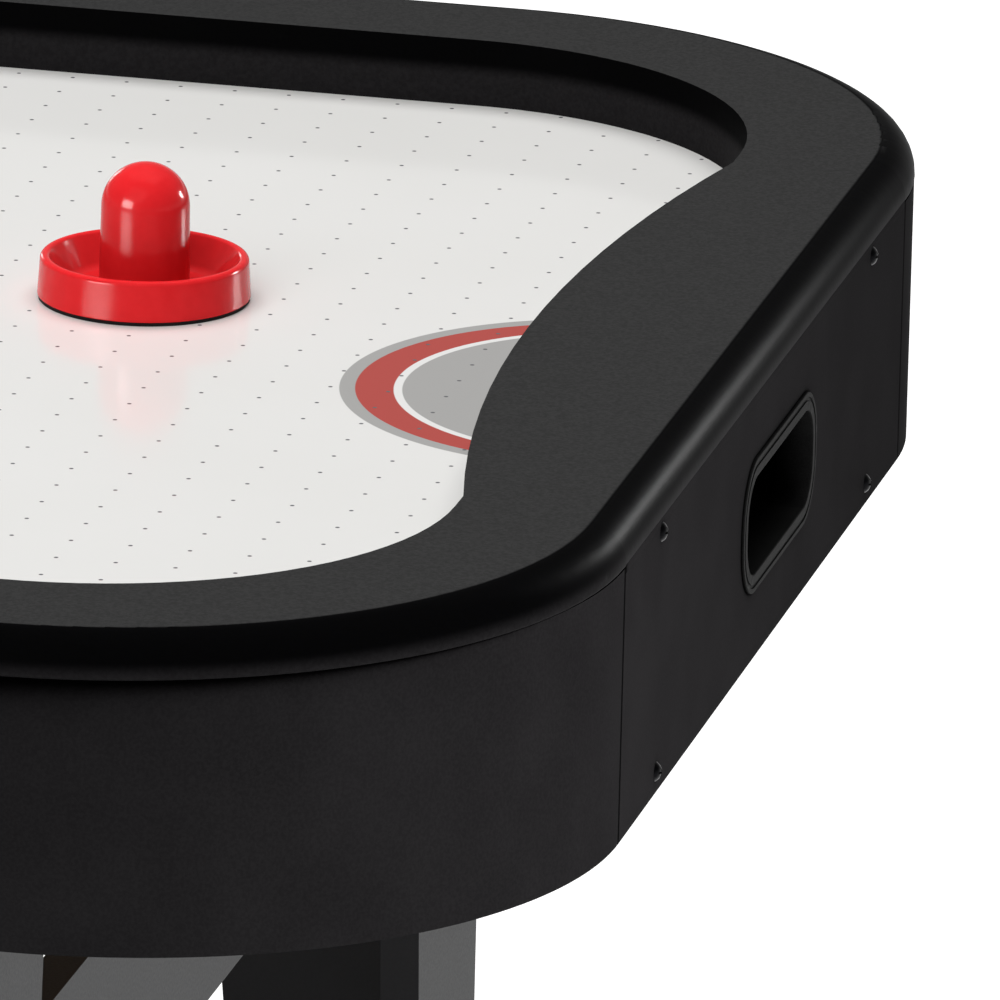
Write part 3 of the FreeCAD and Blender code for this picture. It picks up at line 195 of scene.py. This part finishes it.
def rail_vinyl():
    """Vinyl foil on MDF: a charcoal sheet with an embossed grain on the flat top, stretched smooth
    and black over the rolled edge. The foil is charcoal again where it hangs straight below the
    roll, and its change from black to charcoal over the roll's lower part, by height, is a painted
    light for the light from the floor and the low front. Its grain is drawn about three times as
    coarse as a real one, so that it shows."""
    made, tree, surface = new_material("black_rail_vinyl", Specular_IOR_Level=0.003)
    place = add(tree, "TexCoord", output=3)
    up = add(tree, "SeparateXYZ", (place,), 2)
    on_top = add(tree, "MapRange", (up, TOP - 0.12 * MM, TOP - 0.02 * MM, 0, 1), **EASED)
    # painted light: the roll's lower part turns from black to charcoal by height, as if lit from
    # below
    below = add(tree, "MapRange", (up, TOP - 18 * MM, TOP - 10.5 * MM, 1, 0), **EASED)
    grain = add(tree, "TexNoise",
                {"Vector": place, "Scale": 1 / (1.8 * MM), "Detail": 3.0, "Roughness": 0.65})
    pebble = add(tree, "TexVoronoi", {"Vector": place, "Scale": 1 / (1.1 * MM)},
                 feature="SMOOTH_F1")
    speck = add(tree, "MapRange", (grain, 0.3, 0.7, 0, 1), **EASED)
    sheet, roll, hem = (
        add(tree, "Mix", {"Factor": amount, "A": linear(dark), "B": linear(light)}, 2,
            data_type="RGBA")
        for amount, dark, light in ((speck, "#303030", "#393939"), (grain, "#040404", "#070708"),
                                    (speck, "#1D1C1D", "#242324")))
    edge = add(tree, "Mix", {"Factor": below, "A": roll, "B": hem}, 2, data_type="RGBA")
    colour = add(tree, "Mix", {"Factor": on_top, "A": edge, "B": sheet}, 2, data_type="RGBA")
    tree.links.new(colour, surface.inputs["Base Color"])
    gloss = add(tree, "MapRange", (up, TOP - 0.2 * MM, TOP - 0.05 * MM, 0.38, 0.62), **EASED)
    tree.links.new(gloss, surface.inputs["Roughness"])
    crease = add(tree, "TexNoise",
                 {"Vector": place, "Scale": 1 / (9 * MM), "Detail": 2.0, "Distortion": 0.6})
    relief = add(tree, "Math", (pebble, on_top, crease), operation="MULTIPLY_ADD")
    bump = add(tree, "Bump", {"Height": relief, "Strength": 0.25, "Distance": 0.3 * MM})
    tree.links.new(bump, surface.inputs["Normal"])
    return made


# Each speckled finish has its name, its darker and lighter tone, its grain size and its roughness.
# Real grains of 0.1 to 0.5 mm are drawn about three times as coarse, so that they show.
FINISHES = {
    "playfield": playfield_laminate(),
    "rail_wrap": rail_vinyl(),
    # PVC foil laminated flat onto MDF: even charcoal with a faint grain, almost without shine,
    # with a painted shade darkening it under the rails' overhang and in hollows
    "cabinet_wrap": speckled("black_cabinet_vinyl", "#1F1E1F", "#272627", 1.4 * MM, 0.55, bump=0.2,
                             painted_shade=0.95, joint=SEAM, Specular_IOR_Level=0.0006),
    # the same foil wrapped round the legs' boards: a soft sheen along them
    "leg_wrap": speckled("black_leg_vinyl", "#161617", "#1D1D1F", 1.4 * MM, 0.5, bump=0.2,
                         Specular_IOR_Level=0.15),
    # wood fibre pressed into board and left bare: dry, brown and blotchy
    "raw_board": speckled("raw_fibreboard", "#8A6B4A", "#A5845F", 1.5 * MM, 0.85, bump=0.5,
                          relief=0.2 * MM),
    # moulded polystyrene: a dull black that shows nothing of a pocket's depth
    "goal_plastic": speckled("black_moulded_polystyrene", "#070707", "#0C0C0C", 0.8 * MM, 0.5,
                             Specular_IOR_Level=0.01),
    # ABS moulded with a fine texture: a dull black, a little darker than the board round it
    "bezel_plastic": speckled("black_moulded_abs", "#151515", "#1F1F1F", 0.7 * MM, 0.4,
                              Specular_IOR_Level=0.004),
    # steel blackened in a hot bath: dark metal with small bright edges
    "screw_black": speckled("blackened_steel", "#0C0C0D", "#18181A", 0.5 * MM, 0.35,
                            Metallic=1.0),
    # steel plated with zinc: pale grey metal with a cloudy shine
    "bolt_zinc": speckled("zinc_plated_steel", "#9B9EA3", "#C0C3C7", 0.8 * MM, 0.32,
                          Metallic=1.0),
    # moulded rubber: matt and slightly pitted
    "foot_rubber": speckled("black_foot_rubber", "#151515", "#202020", 0.6 * MM, 0.75, bump=0.4),
    # moulded polypropylene: waxy, half-matt black
    "blower_plastic": speckled("black_polypropylene", "#1A1A1A", "#242424", 0.7 * MM, 0.5,
                               bump=0.25),
    # enamel sprayed on a steel can: even grey with a low shine
    "motor_steel": speckled("grey_motor_paint", "#5C5E60", "#6B6D70", 0.9 * MM, 0.38),
    # moulded nylon: milky white, half matt
    "wheel_plastic": speckled("white_moulded_nylon", "#CBCAC4", "#D9D8D3", 0.8 * MM, 0.45),
    # powder baked on a steel plate: fine orange peel, half matt
    "control_metal": speckled("black_powder_coat", "#151516", "#232325", 0.5 * MM, 0.5, bump=0.5,
                              relief=0.1 * MM),
    # moulded nylon: plain half-matt black
    "switch_plastic": speckled("black_switch_nylon", "#121212", "#1B1B1B", 0.5 * MM, 0.45),
    # polycarbonate moulded in a polished tool: deep glossy red
    "rocker_plastic": speckled("red_rocker_polycarbonate", "#A01216", "#B4181C", 0.6 * MM, 0.22),
    # ABS moulded in a polished tool: one bright glossy red with faint soft marks 6 mm apart, and a
    # painted shade that darkens it to a deep red deeper down in the dish
    "striker_plastic": speckled("red_moulded_abs", "#E92429", "#EE282D", 6.0 * MM, 0.16, bump=0.02,
                                spread=0.02, painted_shade=0.42, painted_shade_colour="#6E1414", start=0.25, alone=True,
                                Specular_IOR_Level=0.12),
    # pressed wool: black and fibrous, without any shine
    "striker_felt": speckled("black_wool_felt", "#0A0A0A", "#1C1C1C", 0.5 * MM, 0.95, bump=0.9,
                             relief=0.3 * MM),
    # polycarbonate moulded in a polished tool: glossy red with faint marks 2 mm apart
    "puck_plastic": speckled("red_puck_polycarbonate", "#CC1E23", "#D42227", 2.0 * MM, 0.14,
                             bump=0.05, spread=0.04),
}
for entry in frame["record"]["subparts"]:
    node = nodes[entry["node"]]
    node.data.materials.clear()
    node.data.materials.append(FINISHES[entry["material_slot"]])


# ---------------------------------------------------------------- pieces finer than the model's
GUARD = 0.0002                              # how far a row beside an arc stands off it, in mm


def rounded(corners, steps=10):
    """A line in mm through corners (x, y, radius), each turned by an arc: centre +
    r (cos t, sin t), tangent to both sides. A point just before and after each arc keeps its flat
    neighbours flat when shaded smooth."""
    spots = np.array([corner[:2] for corner in corners], float)
    line = []
    for index, (spot, radius) in enumerate(zip(spots, (corner[2] for corner in corners))):
        if not radius:
            line.append(spot[None])
            continue
        sides = [spots[index - 1] - spot, spots[(index + 1) % len(spots)] - spot]
        before, after = (side / np.linalg.norm(side) for side in sides)
        half = np.arccos(np.clip(before @ after, -1, 1)) / 2
        reach, turn = radius / np.tan(half), np.pi - 2 * half
        inward = (before + after) / np.linalg.norm(before + after)
        centre = spot + inward * radius / np.sin(half)
        start, end = spot + before * reach, spot + after * reach
        share = np.linspace(0, 1, steps)[:, None]
        arc = centre + (np.sin((1 - share) * turn) * (start - centre)
                        + np.sin(share * turn) * (end - centre)) / np.sin(turn)
        line += [(start + before * GUARD)[None], arc, (end + after * GUARD)[None]]
    return np.concatenate(line)


def piece(name, points, faces, node, stands_for_it=True):
    """A smooth closed mesh with outward faces, on a model node's body and in its finish. It stands
    for that node unless it only covers it."""
    triangles = np.array([face[:3] for face in faces]
                         + [(face[0], *face[2:]) for face in faces if len(face) == 4])
    first, second, third = (points[triangles[:, corner]] for corner in range(3))
    if np.einsum("ij,ij->", first, np.cross(second, third)) < 0:
        faces = [face[::-1] for face in faces]
    mesh = bpy.data.meshes.new(name)
    mesh.from_pydata(points.tolist(), [], faces)
    mesh.shade_smooth()
    made = bpy.data.objects.new(name, mesh)
    bpy.context.scene.collection.objects.link(made)
    entry = next(e for e in frame["record"]["subparts"] if e["node"] == node)
    bodies = frame["record"]["behaviour"]["bodies"]
    body = next(b for b, held in bodies.items() if node in held)
    mesh.materials.append(FINISHES[entry["material_slot"]])
    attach(made, body)
    if stands_for_it:
        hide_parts(node)


def strips(rows, columns, first=0, closed=False):
    """Four-sided faces between the rows of a grid of points that closes round its columns, and
    round its rows if asked."""
    grid = first + np.arange(rows * columns).reshape(rows, columns)
    after = np.roll(grid, -1, axis=0) if closed else grid[1:]
    here = grid if closed else grid[:-1]
    quads = np.stack((here, np.roll(here, -1, axis=1), np.roll(after, -1, axis=1), after), axis=-1)
    return quads.reshape(-1, 4).tolist()


def lathe(name, profile, centre, node, turns=128):
    """A profile of (radius, height), from axis to axis, turned about a vertical line:
    (r cos t, r sin t, h)."""
    angle = np.linspace(0, 2 * np.pi, turns, endpoint=False)
    radius, height = profile[1:-1].T
    ring = np.stack((np.outer(radius, np.cos(angle)), np.outer(radius, np.sin(angle)),
                     np.repeat(height[:, None], turns, axis=1)), axis=-1).reshape(-1, 3)
    poles = np.array([(0, 0, profile[0][1]), (0, 0, profile[-1][1])])
    points = np.concatenate((poles, ring)) + np.array(centre)
    faces = strips(len(radius), turns, 2)
    low, high = 2 + np.arange(turns), 2 + (len(radius) - 1) * turns + np.arange(turns)
    faces += np.stack((np.zeros(turns, int), np.roll(low, -1), low), axis=-1).tolist()
    faces += np.stack((np.ones(turns, int), high, np.roll(high, -1)), axis=-1).tolist()
    piece(name, points, faces, node)


def middle_of(node):
    """A node's middle in plan and its underside."""
    low, high = (np.array(corner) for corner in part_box(node))
    return (low[0] + high[0]) / 2, (low[1] + high[1]) / 2, low[2]


# profiles of (radius, height, corner radius) in mm
KNOB = 19.4                                 # radius of the striker's handle and of its dome
KNOB_LOW = 61 - 1.6 - KNOB                  # height of the dome's middle above the felt
SHELL = rounded([(0, 0, 0), (46.7, 0, 0.6), (45.6, 17.9, 2.2), (42.1, 17.9, 2.2),
                 (32.8, 3.5, 6), (19.9, 3.5, 3), (19.45, 36, 0)], 12)
angles = np.linspace(0, np.pi / 2, 24)
DOME = np.stack((KNOB * np.cos(angles), KNOB_LOW + KNOB * np.sin(angles)), axis=-1)
STRIKER = np.concatenate((SHELL[:-1], DOME)) * MM
FELT = rounded([(0, 0, 0), (46.2, 0, 0.3), (46.2, 1.6, 0.3), (0, 1.6, 0)], 5) * MM
PUCK = rounded([(0, 0, 0), (31.75, 0, 1.4), (31.75, 6, 1.4), (27.2, 6, 0.4), (26.6, 5.6, 0.4),
                (25.4, 5.6, 0.4), (24.8, 6, 0.4), (0, 6, 0)], 8) * MM
for end, _ in BOTH:
    shell, felt, puck = f"striker_shell_{end}", f"striker_felt_{end}", f"puck_{end}"
    lathe(f"striker_{end}_shell_fine", STRIKER, middle_of(shell), shell)
    lathe(f"striker_{end}_felt_fine", FELT, middle_of(felt), felt, 96)
    lathe(f"puck_{end}_fine", PUCK, middle_of(puck), puck, 96)


def bezel(end, sign):
    """The puck return's bezel: a section of (distance from the clear opening, distance out of the
    end face), carried round the opening's outline, a rounded box whose half sizes and radius all
    grow by the first."""
    flange, radius, thick, groove, depth = 8.2, 18.0, 1.2, 0.6, 15
    section = rounded([(0, -depth, 0), (0, thick, 0.6), (4.4, thick, 0.2), (4.4, groove, 0.2),
                       (6.0, groove, 0.2), (6.0, thick, 0.2), (flange, thick, 0.5),
                       (flange, 0, 0), (3, 0, 0), (3, -depth, 0)], 6)
    node = f"return_bezel_{end}"
    low, high = (np.array(corner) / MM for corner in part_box(node))
    half, tall = (high - low)[1:] / 2 - flange
    loops = []
    for growth, out in section:
        wide, rise, turn = half + growth, tall + growth, radius + growth
        loop = rounded([(wide, -rise, turn), (wide, rise, turn), (-wide, rise, turn),
                        (-wide, -rise, turn)], 24)
        loops.append(np.insert(loop, 0, out, axis=1))
    points = np.array(loops) * MM
    points[..., 0] = sign * (END + points[..., 0])
    points[..., 1:] += (low[1:] + high[1:]) / 2 * MM
    rows, columns = points.shape[:2]
    piece(f"{node}_fine", points.reshape(-1, 3), strips(rows, columns, closed=True), node)


def wrap_hem(end, sign):
    """The rail's foil carried down over its joint with the end panel, as a thin sheet that lies on
    the end face. At 2.5 - 3.7 t mm below the rail's underside its front stands out by
    0.01 + 0.04 sin(pi t) mm, all along the end."""
    rows, columns = 12, 120
    share = np.linspace(0, 1, rows)
    out = 0.04 * MM * np.sin(np.pi * share) + 0.01 * MM
    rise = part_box(f"end_rail_{end}")[0][2] - 2.5 * MM + share * 3.7 * MM
    along = np.linspace(-SEAM, SEAM, columns)
    front = np.stack((np.repeat(END + out[:, None], columns, axis=1),
                      np.repeat(along[None], rows, axis=0),
                      np.repeat(rise[:, None], columns, axis=1)), axis=-1)
    back = front[::-1].copy()
    back[..., 0] = END - 0.02 * MM
    loops = np.concatenate((front, back)).transpose(1, 0, 2) * (sign, 1, 1)
    around = 2 * rows
    caps = [list(range(around))[::-1], list(range((columns - 1) * around, columns * around))]
    piece(f"wrap_hem_{end}", loops.reshape(-1, 3), strips(columns, around) + caps,
          f"end_panel_{end}", stands_for_it=False)


for end, sign in BOTH:
    bezel(end, sign)
for end, sign in BOTH:
    wrap_hem(end, sign)


# ---------------------------------------------------------------- stage, light and camera
FLOOR_REACH = 60.0                          # half the floor's width
NEAR_GLOW, FAR_GLOW = 0.64, 1.0             # the floor's own white, near the table and far off
GLOW_FROM, GLOW_TO = 1.6, 4.5               # between these distances the one becomes the other


def stage_floor():
    """A pale floor that shows white to the camera and in reflections, keeps the table's shadow,
    and fades into white away from it."""
    made, tree, surface = new_material("pale_floor", Roughness=0.9)
    surface.inputs["Base Color"].default_value = linear("#E6E6E6")
    in_sight = add(tree, "LightPath")
    rays = in_sight.node.outputs
    seen = add(tree, "Math", (in_sight, rays["Is Glossy Ray"]), operation="MAXIMUM")
    seen = add(tree, "Math", (seen, rays["Is Transmission Ray"]), operation="MAXIMUM")
    away = add(tree, "TexCoord", output=3)
    away = add(tree, "VectorMath", (away,), 1, operation="LENGTH")
    glow = add(tree, "MapRange", (away, GLOW_FROM, GLOW_TO, NEAR_GLOW, FAR_GLOW), **EASED)
    glow = add(tree, "Math", (seen, glow), operation="MULTIPLY")
    surface.inputs["Emission Color"].default_value = (1, 1, 1, 1)
    tree.links.new(glow, surface.inputs["Emission Strength"])
    mesh = bpy.data.meshes.new("floor")
    corners = [(x * FLOOR_REACH, y * FLOOR_REACH, 0)
               for x, y in ((-1, -1), (1, -1), (1, 1), (-1, 1))]
    mesh.from_pydata(corners, [], [(0, 1, 2, 3)])
    mesh.materials.append(made)
    floor = bpy.data.objects.new("floor", mesh)
    bpy.context.scene.collection.objects.link(floor)


def soft_light(name, spot, aim, wide, tall, power, only_on=None, through=False):
    """A rectangular lamp at spot, turned towards aim, and not seen by the camera itself. A bounced
    light is left out of sharp reflections. A window, which has a list of the pieces it is for,
    shows in nothing but their gloss, and may reach them through the rest of the table."""
    lamp = bpy.data.lights.new(name, "AREA")
    lamp.shape = "RECTANGLE"
    lamp.size, lamp.size_y, lamp.energy = wide, tall, power
    holder = bpy.data.objects.new(name, lamp)
    holder.location = spot
    direction = Vector(aim) - Vector(spot)
    holder.rotation_euler = direction.to_track_quat("-Z", "Y").to_euler()
    holder.visible_camera = False
    holder.visible_glossy, holder.visible_diffuse = bool(only_on), not only_on
    bpy.context.scene.collection.objects.link(holder)
    if only_on:
        lit = bpy.data.collections.new(f"lit_by_{name}")
        for made in only_on:
            lit.objects.link(made)
        holder.light_linking.receiver_collection = lit
        if through:
            holder.light_linking.blocker_collection = lit


STRIKER_SPOT, CORNER_SPOT = (0.77, 0.09, 0.8), (1.05, -0.4, 0.8)    # what the lamps are aimed at
OFF_PLAYFIELD = 0.9                         # how strong a window's image is beside the window's own


def studio():
    """A dark studio with a white horizon, whose walls show grey in the gloss. Bounced light comes
    from above and in front, and windows shine in the gloss, both straight and off the playfield,
    as their images below it."""
    world = bpy.data.worlds.new("studio")
    bpy.context.scene.world = world
    world.use_nodes = True
    tree = world.node_tree
    tree.nodes.clear()
    up = add(tree, "TexCoord")
    up = add(tree, "SeparateXYZ", (up,), 2)
    in_gloss = add(tree, "LightPath").node.outputs["Is Glossy Ray"]
    walls = add(tree, "Math", (in_gloss, 0.27, 0.03), operation="MULTIPLY_ADD")
    horizon = add(tree, "MapRange", (up, 0.045, 0.12, 1, 0), **EASED)
    strength = add(tree, "Mix", {"Factor": horizon, "A": walls, "B": 1.0}, data_type="FLOAT")
    background = add(tree, "Background", {"Color": (1, 1, 1, 1), "Strength": strength})
    out = tree.nodes.new("ShaderNodeOutputWorld")
    tree.links.new(background, out.inputs["Surface"])
    # bounced light: where it comes from, what it is aimed at, its width, its height and its watts
    soft_light("ceiling_bounce", (0.5, 0.9, 4.4), (0.5, 0, 0.8), 4.0, 3.0, 140)
    soft_light("front_bounce", (-0.12, -3.24, 3.7), STRIKER_SPOT, 3.6, 3.0, 116)
    soft_light("low_bounce_right", (1.75, -0.45, 0.62), (1.07, -0.3, 0.7), 0.4, 0.3, 4.8)
    # windows, and their images off the playfield, which only the strikers show
    rails = [node for name, node in nodes.items() if "rail" in name]
    shells = [bpy.data.objects[f"striker_{end}_shell_fine"] for end, _ in BOTH]
    for name, (x, y, z), aim, wide, tall, power in (
            ("window_front_left", (-0.675, -1.89, 1.36), STRIKER_SPOT, 1.2, 0.75, 120),
            ("window_behind_right", (1.37, 0.586, 0.955), CORNER_SPOT, 0.1, 0.12, 3.9),
            ("window_behind_left", (-1.1, 2.9, 1.2), STRIKER_SPOT, 0.5, 0.8, 6)):
        soft_light(name, (x, y, z), aim, wide, tall, power, rails + shells)
        soft_light(f"{name}_off_the_playfield", (x, y, 2 * PLAY - z),
                   (*aim[:2], 2 * PLAY - aim[2]), wide, tall, OFF_PLAYFIELD * power, shells,
                   through=True)


def camera():
    """The viewpoint: a long lens, far off to the front and right, looking down a little."""
    azimuth, elevation, roll = (math.radians(d) for d in (12.277, 16.607, 1.391))
    back = Vector((math.sin(azimuth) * math.cos(elevation),
                      -math.cos(azimuth) * math.cos(elevation), math.sin(elevation)))
    right = Vector((math.cos(azimuth), math.sin(azimuth), 0))
    up = back.cross(right)
    tilted_right = right * math.cos(roll) + up * math.sin(roll)
    tilted_up = back.cross(tilted_right)
    lens = bpy.data.cameras.new("camera")
    lens.sensor_width, lens.lens = 36.0, 595.4
    lens.clip_start, lens.clip_end = 0.1, 200.0
    holder = bpy.data.objects.new("camera", lens)
    turned = Matrix((tilted_right, tilted_up, back)).transposed()
    holder.matrix_world = Matrix.Translation((2.3989, -6.6590, 2.7497)) @ turned.to_4x4()
    bpy.context.scene.collection.objects.link(holder)
    bpy.context.scene.camera = holder


stage_floor()
studio()
camera()
bpy.context.scene.view_settings.view_transform = "Standard"
